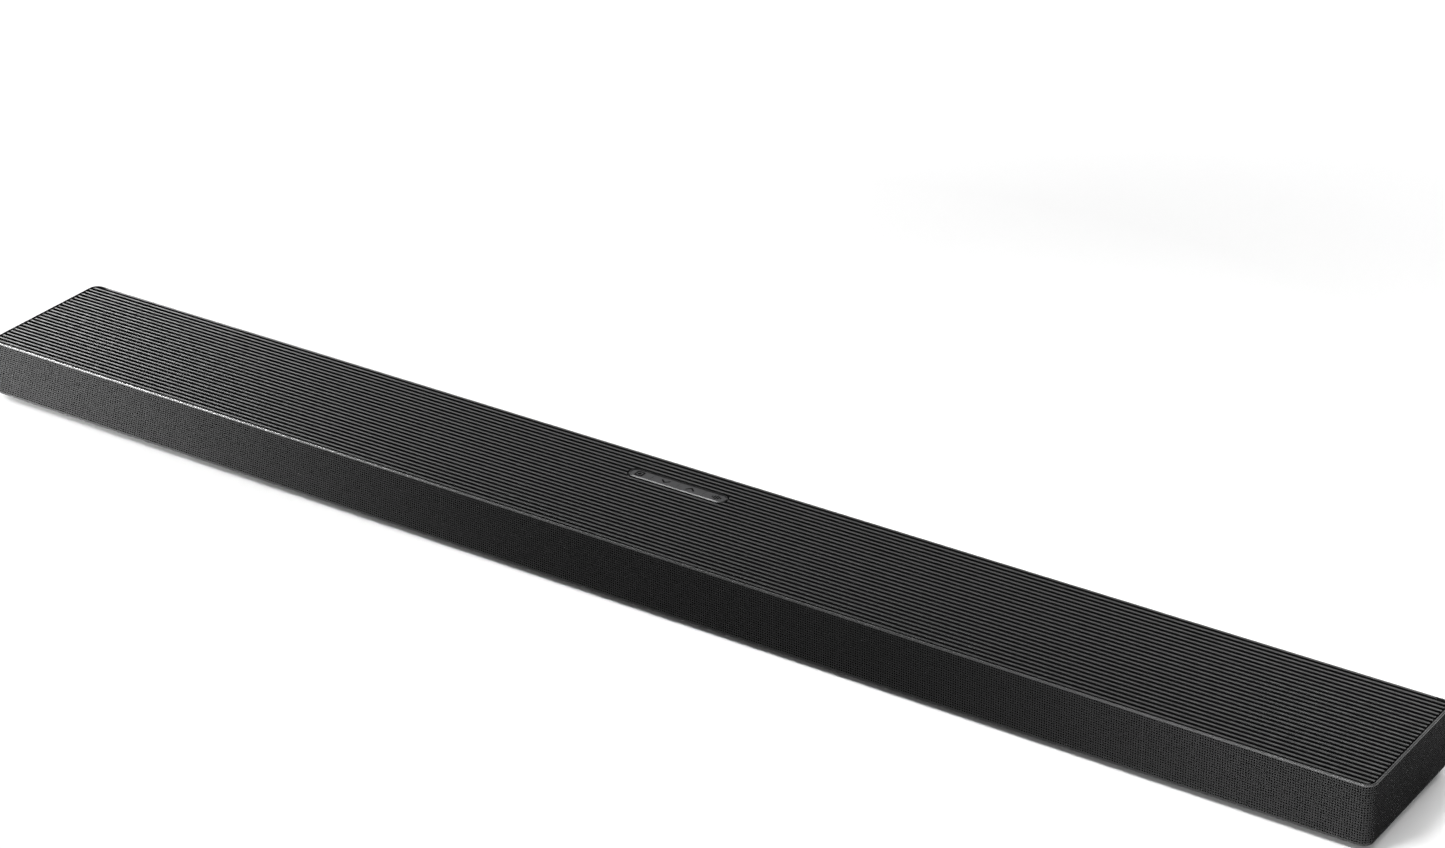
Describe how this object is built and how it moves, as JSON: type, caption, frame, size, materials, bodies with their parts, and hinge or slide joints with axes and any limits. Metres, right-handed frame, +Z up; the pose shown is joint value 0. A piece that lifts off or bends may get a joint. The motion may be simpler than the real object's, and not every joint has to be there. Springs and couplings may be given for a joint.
{
  "type": "soundbar",
  "caption": "Slim television soundbar with a ribbed top, a perforated wrap-round grille, a pill-shaped row of press keys and a rear connector bay.",
  "frame": {"origin": "centre of the footprint, at the bottom of the rubber feet", "axes": "+X along the bar to the right seen from the front, -Y is the perforated front, +Z up"},
  "size_m": [1.16, 0.119, 0.0505],
  "materials": {
    "top_plastic": "satin",
    "grille_metal": "satin black",
    "case_plastic": "fine moulded texture",
    "inner_plastic": "matt",
    "foot_rubber": "matt",
    "acoustic_cloth": "fine black weave",
    "key_plastic": "satin",
    "bezel_metal": "dark anodised",
    "screw_steel": "black zinc",
    "insert_brass": "plain",
    "circuit_board": "solder mask",
    "socket_steel": "nickel plated",
    "socket_plastic": "moulded",
    "heat_sink_aluminium": "extruded",
    "motor_steel": "zinc plated",
    "basket_steel": "black",
    "cone_paper": "pressed fibre",
    "surround_rubber": "matt",
    "cable_sleeve": "matt"
  },
  "bodies": {
    "cabinet": {"acoustic_cloth": "acoustic_cloth", "amplifier_board": "circuit_board", "board_screws": "screw_steel", "button_bezel": "bezel_metal", "cabinet_screws": "screw_steel", "centre_enclosure": "inner_plastic", "centre_woofer_frame": "basket_steel", "centre_woofer_motor": "motor_steel", "centre_woofer_surround": "surround_rubber", "chassis": "case_plastic", "connector_bay": "case_plastic", "foot_front_left": "foot_rubber", "foot_front_right": "foot_rubber", "foot_rear_left": "foot_rubber", "foot_rear_right": "foot_rubber", "grille": "grille_metal", "hdmi_socket": "socket_steel", "heat_sink": "heat_sink_aluminium", "key_board": "circuit_board", "key_mat": "surround_rubber", "key_ribbon": "cable_sleeve", "key_switches": "socket_plastic", "left_enclosure": "inner_plastic", "left_side_driver_frame": "basket_steel", "left_side_driver_motor": "motor_steel", "left_side_driver_surround": "surround_rubber", "left_tweeter": "socket_plastic", "left_woofer_frame": "basket_steel", "left_woofer_motor": "motor_steel", "left_woofer_surround": "surround_rubber", "main_board": "circuit_board", "mains_inlet": "socket_plastic", "mount_inserts": "insert_brass", "optical_socket": "socket_plastic", "power_board": "circuit_board", "rear_panel_left": "case_plastic", "rear_panel_right": "case_plastic", "rear_screws": "screw_steel", "receiver_board": "circuit_board", "right_enclosure": "inner_plastic", "right_side_driver_frame": "basket_steel", "right_side_driver_motor": "motor_steel", "right_side_driver_surround": "surround_rubber", "right_tweeter": "socket_plastic", "right_woofer_frame": "basket_steel", "right_woofer_motor": "motor_steel", "right_woofer_surround": "surround_rubber", "speaker_baffle": "inner_plastic", "speaker_cables": "cable_sleeve", "top_cover": "top_plastic", "usb_socket": "socket_steel"},
    "key_source_body": {"key_source": "key_plastic"},
    "key_volume_down_body": {"key_volume_down": "key_plastic"},
    "key_volume_up_body": {"key_volume_up": "key_plastic"},
    "key_voice_body": {"key_voice": "key_plastic"},
    "centre_woofer_cone_body": {"centre_woofer_cone": "cone_paper"},
    "left_side_driver_cone_body": {"left_side_driver_cone": "cone_paper"},
    "left_woofer_cone_body": {"left_woofer_cone": "cone_paper"},
    "right_side_driver_cone_body": {"right_side_driver_cone": "cone_paper"},
    "right_woofer_cone_body": {"right_woofer_cone": "cone_paper"}
  },
  "joints": [
    {"name": "source_press", "type": "slide", "parent": "cabinet", "child": "key_source_body", "axis": [0, 0, -1], "range_m": [0, 0.0004], "stiffness_N_per_m": 3000, "springref_m": -0.0001},
    {"name": "volume_down_press", "type": "slide", "parent": "cabinet", "child": "key_volume_down_body", "axis": [0, 0, -1], "range_m": [0, 0.0004], "stiffness_N_per_m": 3000, "springref_m": -0.0001},
    {"name": "volume_up_press", "type": "slide", "parent": "cabinet", "child": "key_volume_up_body", "axis": [0, 0, -1], "range_m": [0, 0.0004], "stiffness_N_per_m": 3000, "springref_m": -0.0001},
    {"name": "voice_press", "type": "slide", "parent": "cabinet", "child": "key_voice_body", "axis": [0, 0, -1], "range_m": [0, 0.0004], "stiffness_N_per_m": 3000, "springref_m": -0.0001},
    {"name": "centre_woofer_stroke", "type": "slide", "parent": "cabinet", "child": "centre_woofer_cone_body", "axis": [0, -1, 0], "range_m": [-0.0015, 0.0015], "stiffness_N_per_m": 2000},
    {"name": "left_side_driver_stroke", "type": "slide", "parent": "cabinet", "child": "left_side_driver_cone_body", "axis": [-1, 0, 0], "range_m": [-0.0015, 0.0015], "stiffness_N_per_m": 2000},
    {"name": "left_woofer_stroke", "type": "slide", "parent": "cabinet", "child": "left_woofer_cone_body", "axis": [0, -1, 0], "range_m": [-0.0015, 0.0015], "stiffness_N_per_m": 2000},
    {"name": "right_side_driver_stroke", "type": "slide", "parent": "cabinet", "child": "right_side_driver_cone_body", "axis": [1, 0, 0], "range_m": [-0.0015, 0.0015], "stiffness_N_per_m": 2000},
    {"name": "right_woofer_stroke", "type": "slide", "parent": "cabinet", "child": "right_woofer_cone_body", "axis": [0, -1, 0], "range_m": [-0.0015, 0.0015], "stiffness_N_per_m": 2000}
  ]
}
